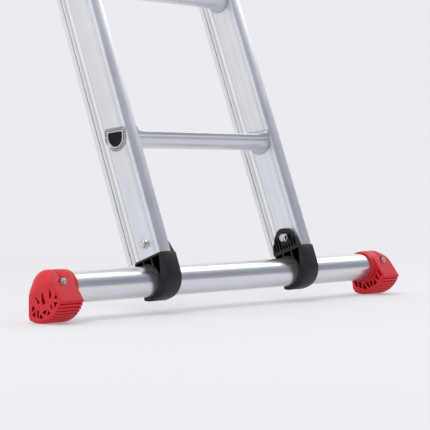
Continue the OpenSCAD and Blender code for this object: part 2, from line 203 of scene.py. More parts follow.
def plastic(name, look):
    material, tree, shader, coords = startMaterial(name)
    place = coords.outputs["Object"]
    cloud = noiseAt(tree, place, 38.0, 4.0, 0.6)
    grain = noiseAt(tree, place, 1500.0, 2.0, 0.6)
    scuffs = noiseAt(tree, place, 240.0, 6.0, 0.7)
    colour = shaded(tree, cloud, look["colour"], 1 - look["vary"], 1 + look["vary"])
    colour = shaded(tree, scuffs, colour, 0.94, 1.06)
    tree.links.new(colour, shader.inputs["Base Color"])
    rough = addNode(tree, "Math", operation="ADD")
    tree.links.new(spread(tree, cloud, look["rough"] - 0.05, look["rough"] + 0.05), rough.inputs[0])
    tree.links.new(spread(tree, scuffs, -0.04, 0.08), rough.inputs[1])
    tree.links.new(rough.outputs[0], shader.inputs["Roughness"])
    shader.inputs["Specular IOR Level"].default_value = look["shine"]
    normal = bumpOf(tree, grain, look["bump"])
    normal = bumpOf(tree, scuffs, look["bump"] * 0.8, 0.6, normal)
    tree.links.new(normal, shader.inputs["Normal"])
    return material


def steel(name, look):
    material, tree, shader, coords = startMaterial(name)
    place = coords.outputs["Object"]
    crystals = noiseAt(tree, place, 420.0, 3.0, 0.6)
    cloud = noiseAt(tree, place, 90.0, 3.0, 0.5)
    tinted = blendColours(tree, spread(tree, cloud, 0.0, 1.0), look["colour"], look["tint"])
    colour = shaded(tree, crystals, tinted, 0.86, 1.06)
    tree.links.new(colour, shader.inputs["Base Color"])
    tree.links.new(spread(tree, crystals, look["rough"] - 0.07, look["rough"] + 0.1),
                   shader.inputs["Roughness"])
    shader.inputs["Metallic"].default_value = 1.0
    tree.links.new(bumpOf(tree, crystals, 0.00006), shader.inputs["Normal"])
    return material


# colours are linear; grain and broad are the sizes of the streaks in metres across, deep and along
stileLook = {"colour": (0.80, 0.81, 0.83), "grain": (0.0009, 0.0009, 0.5),
             "broad": (0.006, 0.006, 1.4), "streak": 0.05, "rough": 0.33, "bump": 0.00002,
             "patchy": 0.055, "metal": 0.92}
# each stop multiplies the colour at a distance backwards from the bar's axis, in millimetres: painted shade
# in the side's grooves and lines, painted highlights on its beads and slopes; the fly stiles keep the plain
# look
baseStileShadedLook = dict(stileLook, axis="Y", reach=(-44.0, 35.0), shadeAndHighlights=[
    (34.7, (1.0, 1.0, 1.0)), (25.5, (0.96, 0.97, 0.98)), (24.8, (0.93, 0.93, 0.94)),
    (24.5, (0.66, 0.67, 0.69)), (24.2, (0.7, 0.71, 0.73)), (23.9, (1.3, 1.3, 1.29)),
    (20.6, (1.3, 1.3, 1.28)), (20.0, (0.88, 0.88, 0.9)), (17.0, (0.84, 0.85, 0.88)),
    (15.4, (0.68, 0.69, 0.72)), (14.4, (0.72, 0.73, 0.75)), (13.6, (1.1, 1.09, 1.03)),
    (9.0, (1.1, 1.08, 1.02)), (8.0, (0.92, 0.93, 0.96)), (6.4, (0.94, 0.95, 0.97)),
    (6.0, (0.74, 0.75, 0.78)), (5.3, (0.74, 0.75, 0.78)), (4.8, (0.92, 0.93, 0.96)),
    (-32.0, (0.97, 0.98, 1.0)), (-34.6, (0.8, 0.81, 0.84)), (-35.4, (0.97, 0.98, 1.0)),
    (-40.0, (1.0, 1.0, 1.0))])
# and here at a distance across from the ladder's middle, so the painted shade and highlights sit at the
# rungs' ends: dark in the flare's ripples and round the end ring, lighter at the very end
rungLook = dict(stileLook, colour=(0.74, 0.745, 0.765), grain=(0.35, 0.0008, 0.0008),
                broad=(0.8, 0.005, 0.005), rough=0.38, axis="X", reach=(140.0, 201.2), shadeAndHighlights=[
                    (145.0, (1.0, 1.0, 1.0)), (163.0, (0.95, 0.95, 0.96)), (167.0, (0.74, 0.75, 0.77)),
                    (168.1, (1.0, 1.0, 1.0)), (168.9, (0.45, 0.46, 0.48)), (170.0, (1.0, 1.0, 1.0)),
                    (171.0, (0.42, 0.43, 0.45)), (171.8, (0.6, 0.61, 0.63)), (199.6, (0.3, 0.3, 0.32)),
                    (199.95, (0.4, 0.4, 0.42)), (200.5, (0.72, 0.72, 0.74)), (200.95, (0.8, 0.8, 0.81)),
                    (201.1, (1.15, 1.15, 1.15))])
barLook = dict(stileLook, colour=(0.77, 0.78, 0.80), grain=(0.4, 0.0012, 0.0012),
               broad=(0.9, 0.02, 0.02), rough=0.24, bump=0.000001, streak=0.02, patchy=0.012)
charcoalLook = {"colour": (0.022, 0.020, 0.023), "vary": 0.12, "rough": 0.42, "shine": 0.2,
                "bump": 0.00005}
plugLook = dict(charcoalLook, colour=(0.008, 0.008, 0.010), shine=0.12)
# a near-black for the clamps' cells and the tongue's slots: painted shade in the hollows
charcoalRecessShadeLook = dict(charcoalLook, colour=(0.003, 0.003, 0.003), rough=0.8, shine=0.05)
redLook = {"colour": (0.69, 0.016, 0.028), "vary": 0.06, "rough": 0.44, "shine": 0.32,
           "bump": 0.00004}
# a darker red for the feet's hollows, the groove at the dome's seam and the rings round the screws: painted
# shade
redRecessShadeLook = dict(redLook, colour=(0.36, 0.006, 0.010), rough=0.7, shine=0.1)
zincLook = {"colour": (0.68, 0.72, 0.70), "tint": (0.48, 0.52, 0.49), "rough": 0.24}
hookLook = {"colour": (0.62, 0.63, 0.64), "tint": (0.52, 0.53, 0.56), "rough": 0.38}

stileAlloy = alloy("stileAluminium", stileLook)
baseStileShadedAlloy = alloy("baseStileAluminiumPaintedShade", baseStileShadedLook)
rungAlloy = alloy("rungAluminium", rungLook)
barAlloy = alloy("barAluminium", barLook)
charcoal = plastic("charcoalPlastic", charcoalLook)
plugBlack = plastic("plugPlastic", plugLook)
red = plastic("redPlastic", redLook)
redRecessShade = plastic("redPlasticPaintedShade", redRecessShadeLook)
charcoalRecessShade = plastic("charcoalPlasticPaintedShade", charcoalRecessShadeLook)
zinc = steel("zincSteel", zincLook)
hookSteel = steel("hookSteel", hookLook)
for node in frame["nodes"].values():
    node.data.materials.clear()
    node.data.materials.append(stileAlloy)
print("materials ready")


def startRing(bm, points):
    verts = [bm.verts.new(p) for p in points]
    return verts, [bm.edges.new(pair) for pair in zip(verts, verts[1:] + verts[:1])]


def sweep(bm, rings):
    # skins a row of rings that all have the same number of points
    verts, edges = startRing(bm, rings[0])
    first = edges
    for points in rings[1:]:
        made = bmesh.ops.extrude_edge_only(bm, edges=edges)["geom"]
        made = set(g for g in made if isinstance(g, bmesh.types.BMVert))
        verts = [next(e.other_vert(v) for e in v.link_edges if e.other_vert(v) in made)
                 for v in verts]
        for vert, point in zip(verts, points):
            vert.co = point
        edges = [bm.edges.get(pair) for pair in zip(verts, verts[1:] + verts[:1])]
    return first, edges


def fill(bm, edges, index=0):
    made = bmesh.ops.triangle_fill(bm, edges=edges, use_beauty=True)["geom"]
    for face in made:
        if isinstance(face, bmesh.types.BMFace):
            face.material_index = index


def shrink(points, amount):
    # moves each corner of a closed side view inwards, square to the outline
    area = sum(a[0] * b[1] - b[0] * a[1] for a, b in zip(points, points[1:] + points[:1]))
    turn = 1 if area > 0 else -1
    moved = []
    for before, here, after in zip(points[-1:] + points[:-1], points, points[1:] + points[:1]):
        first = Vector((here[0] - before[0], here[1] - before[1])).normalized()
        second = Vector((after[0] - here[0], after[1] - here[1])).normalized()
        side = Vector((-first.y - second.y, first.x + second.x))
        if side.length < 1e-6:
            moved.append(here)
            continue
        side.normalize()
        reach = amount / max(0.5, abs(side.dot(Vector((-first.y, first.x)))))
        moved.append((here[0] + turn * side.x * reach, here[1] + turn * side.y * reach))
    return moved


def atX(x, points):
    # a side view drawn with its first axis towards the climber, set at one place across
    return [(x, -p, s) for p, s in points]


def pocket(bm, x, into, depth, points, index, chamfer=0.35):
    # a hollow moulded into a flat side; its rim edges are handed back for the side's own filling
    mouth = shrink(points, -chamfer)
    floor = shrink(points, 0.25)
    rim, base = sweep(bm, [atX(x, mouth), atX(x + into * chamfer, points),
                           atX(x + into * depth, floor)])
    # the floor and walls take the material at index, which every caller makes a darker one: painted shade
    fill(bm, base, index)
    for edge in base:
        for face in edge.link_faces:
            face.material_index = index
    return rim


def plate(bm, outline, inner, outer, edge):
    # a side view carried across with rounded rims, open at both ends
    small, nearly = shrink(outline, edge), shrink(outline, edge * 0.3)
    return sweep(bm, [atX(inner, small), atX(inner + edge * 0.3, nearly), atX(inner + edge, outline),
                      atX(outer - edge, outline), atX(outer - edge * 0.3, nearly), atX(outer, small)])


def slab(bm, outline, inner, outer, edge, innerPockets, outerPockets, depth, index):
    # a plate that is closed at both ends, with hollows in them
    first, last = plate(bm, outline, inner, outer, edge)
    for points in innerPockets:
        first = first + pocket(bm, inner, 1, depth, points, index)
    for points in outerPockets:
        last = last + pocket(bm, outer, -1, depth, points, index)
    fill(bm, first)
    fill(bm, last)


def turned(bm, profile, centre=(0, 0), steps=64):
    # a turned piece: profile is a row of (place across, radius), centre is (towards climber, up)
    verts = [bm.verts.new((x, -centre[0], centre[1] + r)) for x, r in profile]
    edges = [bm.edges.new(pair) for pair in zip(verts, verts[1:])]
    bmesh.ops.spin(bm, geom=verts + edges, cent=(0, -centre[0], centre[1]), axis=(1, 0, 0),
                   angle=math.tau, steps=steps, use_merge=True)


def prism(bm, outline, bottom, top):
    # a cross-section (across, towards climber) carried along the stile
    verts = [bm.verts.new((x, -p, bottom)) for x, p in outline]
    face = bm.faces.new(verts)
    made = bmesh.ops.extrude_face_region(bm, geom=[face])["geom"]
    bmesh.ops.translate(bm, vec=(0, 0, top - bottom),
                        verts=[g for g in made if isinstance(g, bmesh.types.BMVert)])


def finishPiece(bm, name, nodes, body, materials, slot, place, mirrored=False, bevel=0, sharp=28):
    bmesh.ops.remove_doubles(bm, verts=bm.verts, dist=0.0005)
    bmesh.ops.transform(bm, matrix=place @ toLeft if mirrored else place, verts=bm.verts)
    bmesh.ops.recalc_face_normals(bm, faces=bm.faces)
    mesh = bpy.data.meshes.new(name)
    bm.to_mesh(mesh)
    bm.free()
    for material in materials:
        mesh.materials.append(material)
    mesh.shade_smooth()
    mesh.set_sharp_from_angle(angle=math.radians(sharp))
    piece = bpy.data.objects.new(name, mesh)
    bpy.context.scene.collection.objects.link(piece)
    if bevel:
        rounding = piece.modifiers.new("rounding", "BEVEL")
        rounding.width = bevel * 0.001
        rounding.segments = 3
        rounding.limit_method = "ANGLE"
        rounding.angle_limit = math.radians(40)
        rounding.harden_normals = True
    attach(piece, body)
    if nodes:
        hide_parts(*nodes)
    return piece


sides = [("right", False), ("left", True)]


def both(build, name, node, body, materials, slot, place, **settings):
    for side, mirrored in sides:
        bm = bmesh.new()
        build(bm)
        finishPiece(bm, side + name, [node.format(side)], body, materials, slot, place,
                    mirrored, **settings)


def pair(build, name, node, body, materials, slot, place, **settings):
    # one piece with the same shape on the right and the left
    bm = bmesh.new()
    build(bm)
    nodes = [node] if node else []
    made = bmesh.ops.duplicate(bm, geom=bm.verts[:] + bm.edges[:] + bm.faces[:])["geom"]
    bmesh.ops.scale(bm, vec=(-1, 1, 1), verts=[g for g in made if isinstance(g, bmesh.types.BMVert)])
    return finishPiece(bm, name, nodes, body, materials, slot, place, **settings)


# the bar's ends stay out of sight inside the feet's rounded domes
barSize = {"hidden": 10.0, "chamfer": 0.6, "wall": 2.0, "boreDepth": 40.0, "facets": 128}
low, high = limits("stabiliser_bar", level)
barEnd = high.x - barSize["hidden"]
barRadius = high.z
bm = bmesh.new()
bore = barRadius - barSize["wall"]
half = [(barEnd - barSize["boreDepth"], bore), (barEnd, bore), (barEnd, barRadius - barSize["chamfer"]),
        (barEnd - barSize["chamfer"], barRadius)]
turned(bm, half + [(x, barRadius) for x in (330, 200, 100, 0, -100, -200, -330)]
       + [(-x, r) for x, r in reversed(half)], steps=barSize["facets"])
finishPiece(bm, "stabiliserBar", ["stabiliser_bar"], "base", [barAlloy], "bar_aluminium", level)
print("bar ready")


# a foot is seen from its end, with angles and radii about the bar's axis
footSize = {
    "width": 48.5, "dome": 30.0, "sleeve": 28.8, "innerDrop": 0.7, "seam": 25.0, "seamDepth": 1.5,
    "tip": (47.0, -17.0), "tipRound": 2.5, "seat": 36.7, "root": 49.6, "land": 52.0, "landWidth": 4.4,
    "pitch": 7.0, "firstLand": -3, "lastLand": 9, "rim": 3.0, "pocketDepth": 5.0,
}
# hollows in the outer end, then in the inner end, as (towards climber, up)
outerHollows = [
    [(-6.9, -11.0), (-4.7, -11.7), (2.9, -19.8), (1.9, -21.9), (-1.1, -21.0)],
    [(7.1, -4.3), (9.4, -5.2), (12.3, -13.1), (15.6, -18.4), (14.0, -21.1), (9.9, -22.8), (7.6, -17.3)],
    [(23.5, 2.5), (25.7, 0.6), (28.3, -5.8), (26.8, -12.4), (23.8, -12.3)],
    [(38.6, -3.8), (41.0, -12.4), (34.6, -11.7)],
    [(-12.8, -24.4), (-7.4, -29.0), (-14.5, -35.4)],
    [(-5.8, -32.1), (-7.0, -43.0), (-13.6, -39.9)],
    [(-2.4, -32.2), (1.7, -31.9), (0.5, -43.1), (-2.5, -42.1)],
    [(4.7, -36.6), (11.2, -43.0), (2.0, -43.6)],
    [(8.4, -33.6), (18.6, -29.3), (17.2, -33.4), (14.5, -38.1)],
    [(22.2, -29.7), (26.1, -34.3), (18.9, -39.5)],
    [(28.2, -20.3), (30.5, -25.7), (29.6, -30.8), (25.9, -23.6)],
    [(33.9, -17.2), (41.8, -16.9), (35.4, -26.5)],
]
innerHollows = [
    [(-21.2, -27.7), (-14.6, -27.4), (-11.4, -38.3), (-16.3, -38.1)],
    [(-11.4, -29.0), (-3.0, -29.4), (-3.5, -40.7), (-7.3, -40.7)],
    [(0.7, -31.1), (10.4, -41.3), (0.0, -41.5)],
    [(5.2, -30.8), (11.2, -29.0), (16.7, -37.5), (14.4, -39.7)],
    [(14.7, -27.9), (21.3, -25.1), (21.9, -33.7), (19.0, -36.2)],
    [(24.7, -21.6), (32.5, -28.6), (24.8, -34.6)],
    [(29.2, -11.3), (36.2, -21.2), (33.9, -24.3), (27.9, -19.2)],
    [(33.0, -2.5), (41.9, -12.7), (40.2, -17.7), (32.4, -5.4)],
]
low, high = limits("right_foot", level)
footOuter = high.x
footInner = footOuter - footSize["width"]
sleeveEnd = low.x


def footOutline():
    # each corner comes with the corner it rounds over to at the outer end, and whether it is on the dome
    size = footSize
    rows = []
    for i in range(37):
        turn = i / 36
        here = polar(size["dome"], size["seat"] + (180 - size["seat"]) * turn)
        rows.append((here, (22 - 34.5 * turn, 11.2 - 14.4 * turn), 1))
    for turn in (0.25, 0.5, 0.75, 1.0):
        here = (-30 + 6.7 * turn, -43.8 * turn)
        rows.append((here, (-12.5 - 7.3 * turn ** 0.5, -3.2 - 37.6 * turn), 0))
    for i in range(size["firstLand"], size["lastLand"] + 1):
        middle = 270 + i * size["pitch"]
        across = Vector(polar(1, i * size["pitch"]))
        for offset, radius in ((-0.56, size["root"]), (-0.5, size["land"] - 0.5), (-0.4, size["land"]),
                               (0.4, size["land"]), (0.5, size["land"] - 0.5), (0.56, size["root"])):
            here = Vector(polar(radius, middle)) + across * offset * size["landWidth"]
            rows.append((tuple(here), tuple(here * (1 - size["rim"] / here.length)), 0))
    for here in arc(size["tipRound"], -70, size["seat"], 6, size["tip"]):
        away = (Vector(here) - Vector(size["tip"])) / size["tipRound"]
        rows.append((here, tuple(Vector(here) - away * size["rim"]), 0))
    end = Vector(rows[-1][0])
    start = Vector(rows[0][0])
    for turn in (0.2, 0.4, 0.6, 0.8, 0.93):
        here = end.lerp(start, turn)
        rows.append((tuple(here), tuple(here - Vector((0.8, 0.6)) * size["rim"] * (1 + turn ** 4)), 0))
    return rows


def buildFoot(bm):
    size = footSize
    rows = footOutline()
    outline = [row[0] for row in rows]
    seam = footOuter - size["seam"]

    def scaled(amount, domeOnly=True):
        smaller = shrink(outline, amount)
        return [s if row[2] or not domeOnly else o for s, o, row in zip(smaller, outline, rows)]

    # the dome's inner half stands lower than its outer half, with a groove between them
    drop = size["innerDrop"]
    groove = scaled(drop + size["seamDepth"])
    rings = [atX(footInner, scaled(drop + 0.3, False)), atX(footInner + 0.5, scaled(drop)),
             atX(seam - 2.2, scaled(drop)), atX(seam - 1.4, scaled(drop + 0.3)),
             atX(seam - 1.1, groove), atX(seam + 0.8, groove),
             atX(seam + 1.1, scaled(0.9)), atX(seam + 1.7, scaled(0.45))]
    steps = 10
    for k in range(steps + 1):
        ring = []
        for here, there, dome in rows:
            q, e = Vector(here), Vector(there)
            if dome:
                q = q * (1 - 0.35 / q.length)
            deep = min((q - e).length, 21)
            # the dome meets the flat end at an angle, so a crease shows between them
            whole = math.radians(66 if dome else 90)
            turn = whole * k / steps
            spot = q.lerp(e, (1 - math.cos(turn)) / (1 - math.cos(whole)))
            ring.append((footOuter - deep * (1 - math.sin(turn) / math.sin(whole)), -spot.x, spot.y))
        rings.append(ring)
    first, last = sweep(bm, rings)
    # faces in the groove take the darker red as painted shade, and so do the hollows further on
    for face in bm.faces:
        middle = face.calc_center_median()
        if seam - 1.2 < middle.x < seam + 0.9 and middle.yz.length < size["dome"] - drop - 0.3:
            face.material_index = 1
    for points in outerHollows:
        last = last + pocket(bm, footOuter, -1, size["pocketDepth"], points, 1)
    fill(bm, last)
    collar = startRing(bm, atX(footInner, arc(size["sleeve"] - 1.2, 0, 354, 59)))[1]
    first = first + collar
    for points in innerHollows:
        first = first + pocket(bm, footInner, 1, size["pocketDepth"], points, 1)
    fill(bm, first)
    lip = barRadius + 0.35
    turned(bm, [(footInner + 3, lip), (sleeveEnd + 1.0, lip), (sleeveEnd + 0.2, lip + 0.5),
                (sleeveEnd, lip + 1.2), (sleeveEnd, lip + 2.2), (sleeveEnd + 0.3, size["sleeve"] - 0.9),
                (sleeveEnd + 0.9, size["sleeve"] - 0.25), (sleeveEnd + 2.0, size["sleeve"]),
                (footInner - 0.6, size["sleeve"]), (footInner + 0.6, size["sleeve"] + 0.2)], steps=96)


both(buildFoot, "Foot", "{}_foot", "base", [red, redRecessShade], "red_plastic", level)


screwSize = {"head": 5.9, "height": 2.6, "seat": 31.0, "socket": 2.5, "angle": 22.0}


def buildScrew(bm):
    size = screwSize
    seat, top = size["seat"], size["seat"] + size["height"]
    profile = [(seat - 3, 2.4), (seat, 2.4), (seat, size["head"]), (top - 0.8, size["head"]),
               (top - 0.25, size["head"] - 0.3), (top, size["head"] - 0.9), (top, size["socket"] + 0.5),
               (top - 0.3, size["socket"])]
    turned(bm, profile, steps=36)
    rim = [e for e in bm.edges if e.is_boundary and all(v.co.x > top - 0.4 for v in e.verts)]
    made = bmesh.ops.extrude_edge_only(bm, edges=rim)["geom"]
    bmesh.ops.translate(bm, vec=(-1.2, 0, 0), verts=[g for g in made if isinstance(g, bmesh.types.BMVert)])
    fill(bm, [g for g in made if isinstance(g, bmesh.types.BMEdge) and g.is_boundary])
    ontoPanel(bm)


def ontoPanel(bm):
    # turns a piece that points along X to stand on the foot's front panel
    middle = footOuter - footSize["width"] / 2
    turn = Matrix.Rotation(-math.radians(90), 4, "Z")
    tilt = Matrix.Rotation(-math.radians(screwSize["angle"]), 4, "X")
    bmesh.ops.transform(bm, matrix=Matrix.Translation((middle, 0, 0)) @ tilt @ turn, verts=bm.verts)


# a thin raised ring round each screw for its counterbore, coloured dark red as painted shade of the recess
def buildSeat(bm):
    seat, head = screwSize["seat"], screwSize["head"]
    turned(bm, [(seat - 1.5, head + 1.7), (seat + 0.35, head + 1.7), (seat + 0.6, head + 1.4),
                (seat + 0.6, head + 1.1), (seat - 0.1, head + 0.3), (seat - 1.5, head + 0.3)], steps=48)
    ontoPanel(bm)


pair(buildScrew, "footScrews", "foot_screws", "base", [zinc], "zinc_steel", level)
pair(buildSeat, "footScrewRecessShades", None, "base", [redRecessShade], "red_plastic", level)
print("feet ready")


# clamps, tongues and bolts are seen from the side, along the slope: towards climber, then up the stile
clampSize = {"rear": -18.0, "top": 37.5, "front": 44.1, "wrap": 32.0, "corner": 36.0, "gap": 0.25,
             "tongue": 8.2}
boltSize = {"p": 14.5, "s": 60.0, "flange": 8.2, "hex": 7.2, "head": 5.0, "nut": 6.5, "shank": 4.0}
boltCentre = (boltSize["p"], boltSize["s"])
low, high = limits("right_clamp", slope)
clampInner, clampOuter = low.x, high.x


def clampSide():
    size = clampSize
    centre = (size["front"] - size["corner"], size["corner"] - size["wrap"])
    reach = barRadius + size["gap"]
    rear, front, top = size["rear"], size["front"], size["top"]
    rearAngle = math.degrees(math.acos(rear / reach))
    return ([(rear, top - 3), (rear + 1.5, top - 0.5), (rear + 4, top), (0, top), (12, top), (26, top),
             (front - 3, top), (front - 0.9, top - 0.9), (front, top - 3), (front, 20)]
            + arc(size["corner"], 0, -90, 18, centre) + arc(size["wrap"], 270, 236, 8)
            + [polar(size["wrap"] - 1.2, 233), polar(reach + 1.5, 232), polar(reach, 234)]
            + arc(reach, 240, 360 + rearAngle, 48))


def aroundWrap(*angles):
    return [polar(28.6, angle) for angle in angles]


clampCells = [
    [(-14.8, 34.0), (0.0, 34.0)] + aroundWrap(90, 100, 110, 121),
    [(3.2, 34.0), (18.4, 34.0)] + aroundWrap(50, 60, 70, 83.5),
    [(21.6, 34.0), (38.8, 34.0), (36.5, 24.0), (33.2, 12.0), (30.6, 3.5)] + aroundWrap(7, 20, 30, 40.8),
]
tongueSide = [(-20, 36.2), (41, 36.2), (41, 41), (35, 57), (32, 65), (29, 70.5), (24, 74.2),
              (17.5, 76.6), (11, 78), (4, 77), (-1, 73), (-8, 66), (-14, 53.5), (-20, 41)]
slotSize = {"count": 8, "first": -14, "pitch": 6.5, "width": 4.2, "bottom": 40.5, "point": 2.0,
            "underNut": 46.4, "tall": 62.5, "short": 54.5}


def tongueSlots():
    # the hollows between the tongue's ribs, cut short below the nut
    size = slotSize
    slots = []
    for i in range(size["count"]):
        p = size["first"] + size["pitch"] * i
        if abs(p + 1.8 - boltSize["p"]) < 11:
            top = size["underNut"]
        else:
            top = size["tall"] if -9 < p < 28 else size["short"]
        slots.append([(p, size["bottom"]), (p + size["width"], size["bottom"]), (p + size["width"], top),
                      (p + size["width"] / 2, top + size["point"]), (p, top)])
    return slots


def buildClamp(bm):
    # the cells and slots take the second material, the painted shade
    slab(bm, clampSide(), clampInner, clampOuter, 0.8, clampCells, clampCells, 13, 1)
    slab(bm, tongueSide, clampInner, clampInner + clampSize["tongue"], 1.0, tongueSlots(), (), 3, 1)
    # raised boss around the nut and bolt
    turned(bm, [(clampInner + 2, 10.5), (clampInner, 10.2), (clampInner, 8.4), (clampInner + 1, 8.2)],
           boltCentre, 40)


both(buildClamp, "Clamp", "{}_clamp", "base", [charcoal, charcoalRecessShade], "charcoal_plastic", slope)

boltFace = limits("base_right_stile", slope)[1].x


def hexHead(bm, bottom, top, radius, bore=0.0):
    # a six-sided head whose outer corners are turned down
    centre = Vector(boltCentre)
    corners = [polar(radius, 60 * i + 12, boltCentre) for i in range(6)]
    detailed = []
    for a, b in zip(corners, corners[1:] + corners[:1]):
        detailed += [tuple(Vector(a).lerp(Vector(b), t)) for t in (0, 0.1, 0.3, 0.5, 0.7, 0.9)]
    flat = radius * 0.866

    def circle(size):
        return [tuple(centre + (Vector(q) - centre).normalized() * size) for q in detailed]

    def dropped(x, lift):
        ring = []
        for q in detailed:
            far = (Vector(q) - centre).length - flat
            ring.append((x - lift * max(far, 0) * 0.75, -q[0], q[1]))
        return ring

    way = 1 if top > bottom else -1
    rings = [atX(bottom, detailed), dropped(top - way * 0.35, way), atX(top, circle(flat - 0.25))]
    if bore:
        rings += [atX(top, circle(bore + 0.5)), atX(top - way * 0.5, circle(bore)), atX(bottom, circle(bore))]
        sweep(bm, rings)
    else:
        fill(bm, sweep(bm, rings)[1])


def buildBolt(bm):
    size = boltSize
    face = boltFace
    turned(bm, [(face, 0.5), (face, size["flange"]), (face + 0.7, size["flange"]),
                (face + 1.3, size["flange"] - 0.5), (face + 1.8, size["hex"] - 0.2), (face + 1.8, 0.5)],
           boltCentre, 48)
    hexHead(bm, face + 1.6, face + 1.8 + size["head"], size["hex"])
    end = clampInner - size["nut"] - 1.5
    turned(bm, [(end, 0.3), (end, size["shank"] - 0.8), (end + 0.8, size["shank"]),
                (clampInner + 1, size["shank"])], boltCentre, 36)


def buildNut(bm):
    hexHead(bm, clampInner - 0.8, clampInner - boltSize["nut"], boltSize["hex"], boltSize["shank"] + 0.1)
    turned(bm, [(clampInner, 4.2), (clampInner, 7.6), (clampInner - 0.6, 7.6), (clampInner - 1.0, 7.2),
                (clampInner - 1.2, 4.2)], boltCentre, 48)


pair(buildBolt, "clampBolts", "clamp_bolts", "base", [zinc], "zinc_steel", slope)
pair(buildNut, "clampNuts", "clamp_nuts", "base", [zinc], "zinc_steel", slope)
print("clamps ready")


stileShape = {"corner": 2.5, "crown": 1.0}
# how far the side stands back from the full width, at each distance from the rear or the front face
stileRelief = [(4.0, 0.0), (9.6, 0.0), (10.1, 0.15), (10.3, 1.2), (11.5, 1.25), (12.3, 0.8), (13.2, 0.2),
               (14.1, 0.05), (15.0, 0.15), (19.4, 0.8), (20.4, 0.85), (21.4, 0.7), (25.4, 0.15), (26.4, 0.1),
               (28.0, 0.12), (28.4, 0.55), (29.3, 0.55), (29.7, 0.12)]
frontRelief = [(13.0, 0.1), (12.6, 0.45), (11.8, 0.45), (11.4, 0.1), (9.6, 0.06), (9.2, 0.4), (8.5, 0.4),
               (8.1, 0.05), (5.0, 0.0)]


def stileSection(inner, outer, rear, front):
    radius = stileShape["corner"]
    crown = stileShape["crown"]
    side = [(outer - away, rear + d) for d, away in stileRelief]
    side += [(outer - away, front - d) for d, away in frontRelief]
    middle = (inner + outer) / 2
    half = (outer - inner) / 2
    corner = arc(radius, 0, 90, 7, (outer - radius, front - radius - crown))
    flat = []
    for i in range(1, 8):
        x = outer - radius - (outer - inner - 2 * radius) * i / 8
        flat.append((x, front - crown * ((x - middle) / (half - radius)) ** 2))
    right = arc(radius, -90, 0, 7, (outer - radius, rear + radius)) + side + corner
    left = [(inner + outer - x, p) for x, p in reversed(right)]
    return right + flat + left


def stilePiece(body, name, node, material):
    low, high = limits(node.format("right"), slope)

    def build(bm):
        prism(bm, stileSection(low.x, high.x, -high.y, -low.y), low.z, high.z)

    both(build, name, node, body, [material], "stile_aluminium", slope, sharp=40)
    return low, high


baseLow, baseHigh = stilePiece("base", "BaseStile", "base_{}_stile", baseStileShadedAlloy)
flyLow, flyHigh = stilePiece("fly", "FlyStile", "fly_{}_stile", stileAlloy)
print("stiles ready")


rungSize = {"count": 8, "radius": 17.5, "straight": 10.0, "lift": 3.75, "turn": 15.0, "corner": 2.2,
            "wall": 2.0, "ribs": 6, "ribDepth": 0.6, "dent": 0.45}
plugRecess = {"base": 0.6, "fly": 0.15}
# growth of a rung's section at each distance inwards from its stile
rungFlare = [(0.0, 8.0), (0.5, 7.9), (0.9, 7.1), (1.3, 6.3), (1.8, 6.5), (2.3, 5.9), (2.8, 4.7), (3.3, 4.6),
             (3.9, 4.9), (4.5, 4.3), (5.2, 3.6), (7.0, 3.0), (10.0, 2.2), (14.0, 1.3), (18.0, 0.65),
             (22.0, 0.2), (25.0, 0.0)]
# the ring pressed over a rung's outer end, as (place along it as a share of its length, growth)
rungBead = [(0.0, 6.5), (0.5, 6.4), (0.8, 5.9), (0.85, 5.2), (0.35, 4.6), (0.2, 4.0), (0.75, 3.4), (0.9, 2.8),
            (0.3, 2.0), (0.15, 1.2), (0.6, 0.6), (1.0, 0.2), (1.0, -0.6), (0.85, -1.2), (0.4, -2.0)]


def rungSection(grow):
    size = rungSize
    r = size["radius"] + grow
    top = size["straight"] + grow
    c = size["corner"] + max(grow, 0) * 0.4
    points = arc(r, 180, 360, 30)
    inside = grow < -0.2
    dent = 0 if inside else size["dent"]
    points += [(r, 0.8), (r - dent, 1.3), (r - dent, 2.1), (r, 2.6), (r, 5.0)]
    points += arc(c, 0, 90, 5, (r - c, top - c))
    reach = r - c - 1.5
    for i in range(size["ribs"]):
        u = reach - 2 * reach * (i + 0.5) / size["ribs"]
        deep = 0 if inside else size["ribDepth"]
        w = reach / size["ribs"] * 0.42
        points += [(u + w, top), (u + w * 0.6, top - deep), (u - w * 0.6, top - deep), (u - w, top)]
    points += arc(c, 90, 180, 5, (-r + c, top - c))
    points += [(-r, 5.0), (-r, 2.6), (-r + dent, 2.1), (-r + dent, 1.3), (-r, 0.8)]
    return points


def rungRing(x, grow, middle, s):
    turn = math.radians(rungSize["turn"])
    ring = []
    for a, b in rungSection(grow):
        b = b + rungSize["lift"]
        ring.append((x, -middle + a * math.cos(turn) - b * math.sin(turn),
                     s + a * math.sin(turn) + b * math.cos(turn)))
    return ring


def buildRung(bm, inner, outer, bead, growBy, middle, s):
    stops = [(outer - 8.5, -rungSize["wall"])]
    stops += [(outer + bead * share, grow if grow <= 0 else grow * growBy)
              for share, grow in reversed(rungBead)]
    stops += [(outer - 1.0, 6.0 * growBy), (outer - 3.0, 0.0), (inner + 1.5, 0.0), (inner + 0.5, 7.5)]
    stops += [(inner - away, grow) for away, grow in rungFlare]
    steps = 6
    straight = inner - rungFlare[-1][0]
    stops += [(straight * (1 - i / steps), 0.0) for i in range(1, steps)]
    rings = [rungRing(x, grow, middle, s) for x, grow in stops]
    rings += [rungRing(0.0, 0.0, middle, s)]
    rings += [rungRing(-x, grow, middle, s) for x, grow in reversed(stops)]
    sweep(bm, rings)


def rungMiddle(node):
    # a rung's middle, from its farthest corners along its section's own turned axes, and its end
    back = slope.inverted()
    spots = [back @ v.co for v in frame["nodes"][node].data.vertices]
    turn = math.radians(rungSize["turn"])
    along = [(s.y * math.cos(turn) + s.z * math.sin(turn), -s.y * math.sin(turn) + s.z * math.cos(turn))
             for s in spots]
    a = (min(q[0] for q in along) + max(q[0] for q in along)) / 2
    b = (min(q[1] for q in along) + max(q[1] for q in along)) / 2
    y = a * math.cos(turn) - b * math.sin(turn)
    z = a * math.sin(turn) + b * math.cos(turn)
    return -y, z, max(s.x for s in spots)


